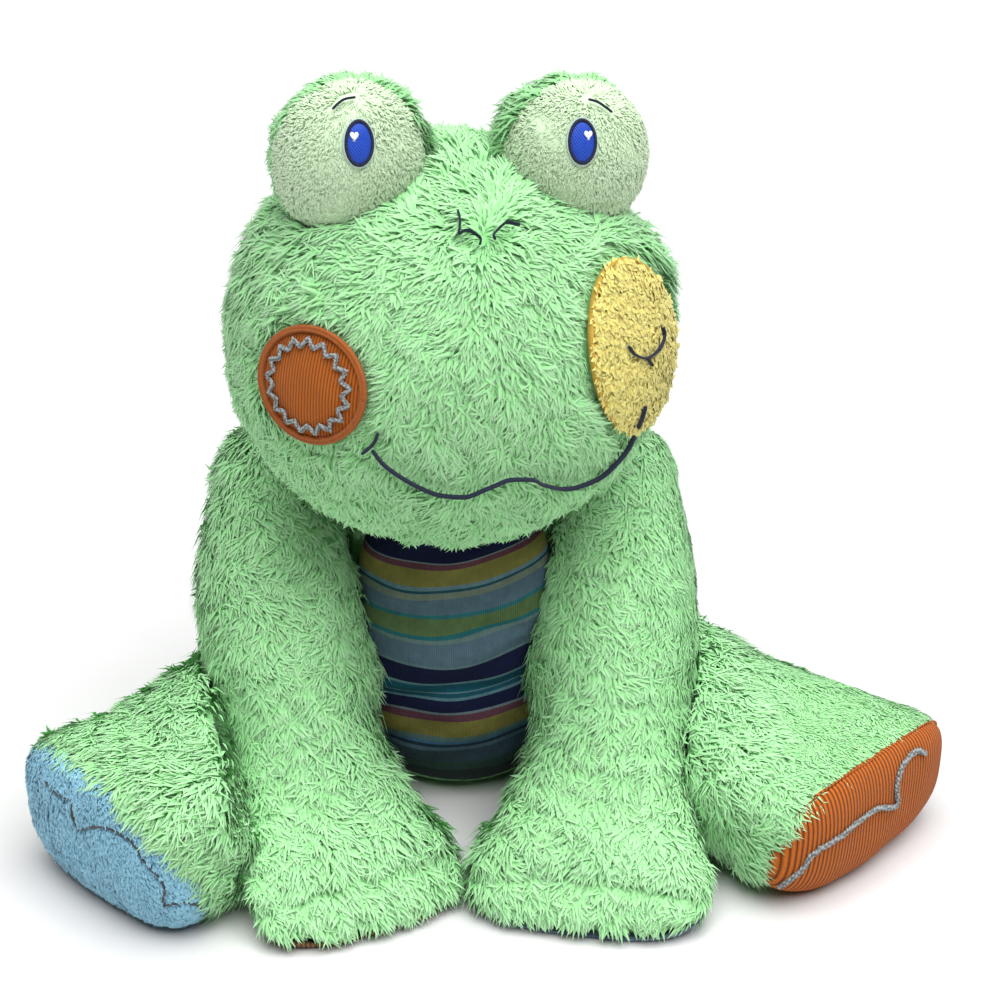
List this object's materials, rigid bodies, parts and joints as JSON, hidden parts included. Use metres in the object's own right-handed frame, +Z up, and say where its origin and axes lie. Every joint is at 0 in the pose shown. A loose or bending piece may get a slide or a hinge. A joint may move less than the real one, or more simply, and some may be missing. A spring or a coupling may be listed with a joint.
{
  "type": "plush frog",
  "caption": "Sitting stuffed frog in green fur with a striped belly, patched cheeks, embroidered face, broad hands and large soft feet.",
  "frame": {"origin": "centre of the flat seat, on the surface the frog sits on", "axes": "+Z up, -Y the way the frog faces, +X to the frog's own left"},
  "size_m": [0.318, 0.1771, 0.2753],
  "materials": {
    "green_fur": "long pile",
    "pale_fleece": "short pile",
    "polyester_fill": "loose fill",
    "bean_bag_cloth": "woven",
    "navy_thread": "satin",
    "blue_thread": "satin",
    "white_thread": "satin",
    "grey_thread": "satin",
    "orange_corduroy": "ribbed",
    "orange_thread": "satin",
    "yellow_sherpa": "curly pile",
    "gold_thread": "satin",
    "striped_jersey": "knit",
    "sole_corduroy": "ribbed",
    "blue_terry": "dimpled pile",
    "palm_corduroy": "ribbed",
    "slate_cloth": "woven"
  },
  "bodies": {
    "torso": {"body_shell": "green_fur", "belly_panel": "striped_jersey", "body_stuffing": "polyester_fill", "seat_bean_bag": "bean_bag_cloth"},
    "neck": {"neck_stuffing": "polyester_fill"},
    "right_arm": {"right_arm_shell": "green_fur", "right_palm_panel": "palm_corduroy", "right_arm_stuffing": "polyester_fill"},
    "right_leg": {"right_leg_shell": "green_fur", "right_sole_panel": "blue_terry", "right_leg_stuffing": "polyester_fill", "right_sole_stitch": "grey_thread"},
    "left_arm": {"left_arm_shell": "green_fur", "left_palm_panel": "slate_cloth", "left_arm_stuffing": "polyester_fill"},
    "left_leg": {"left_leg_shell": "green_fur", "left_sole_panel": "sole_corduroy", "left_leg_stuffing": "polyester_fill", "left_sole_stitch": "grey_thread"},
    "head": {"head_shell": "green_fur", "head_stuffing": "polyester_fill", "mouth_stitch": "navy_thread", "right_mouth_tick": "navy_thread", "right_cheek_patch": "orange_corduroy", "right_cheek_border": "orange_thread", "right_cheek_zigzag": "grey_thread", "left_cheek_patch": "yellow_sherpa", "left_cheek_border": "gold_thread", "left_cheek_dimple": "navy_thread", "right_eye_dome": "green_fur", "right_eye_patch": "pale_fleece", "right_eye_stuffing": "polyester_fill", "right_pupil": "blue_thread", "right_eye_highlight": "white_thread", "right_brow_stitch": "navy_thread", "right_nostril_stitch": "navy_thread", "left_eye_dome": "green_fur", "left_eye_patch": "pale_fleece", "left_eye_stuffing": "polyester_fill", "left_pupil": "blue_thread", "left_eye_highlight": "white_thread", "left_brow_stitch": "navy_thread", "left_nostril_stitch": "navy_thread"}
  },
  "joints": [
    {"name": "head_turn", "type": "hinge", "parent": "torso", "child": "neck", "pos_m": [-0.0057, -0.018, 0.117], "axis": [0, 0, 1], "range_deg": [-10, 10]},
    {"name": "head_nod", "type": "hinge", "parent": "neck", "child": "head", "pos_m": [-0.0057, -0.018, 0.117], "axis": [0.9744, 0.225, 0], "range_deg": [-4, 4]},
    {"name": "right_arm_raise", "type": "hinge", "parent": "torso", "child": "right_arm", "pos_m": [-0.0625, 0, 0.11], "axis": [-1, 0, 0], "range_deg": [0, 24]},
    {"name": "left_arm_raise", "type": "hinge", "parent": "torso", "child": "left_arm", "pos_m": [0.0575, 0, 0.11], "axis": [-1, 0, 0], "range_deg": [0, 24]},
    {"name": "right_leg_splay", "type": "hinge", "parent": "torso", "child": "right_leg", "pos_m": [-0.062, 0.006, 0.02944], "axis": [0, 0, -1], "range_deg": [0, 24]},
    {"name": "left_leg_splay", "type": "hinge", "parent": "torso", "child": "left_leg", "pos_m": [0.062, 0.006, 0.02944], "axis": [0, 0, 1], "range_deg": [0, 24]}
  ]
}
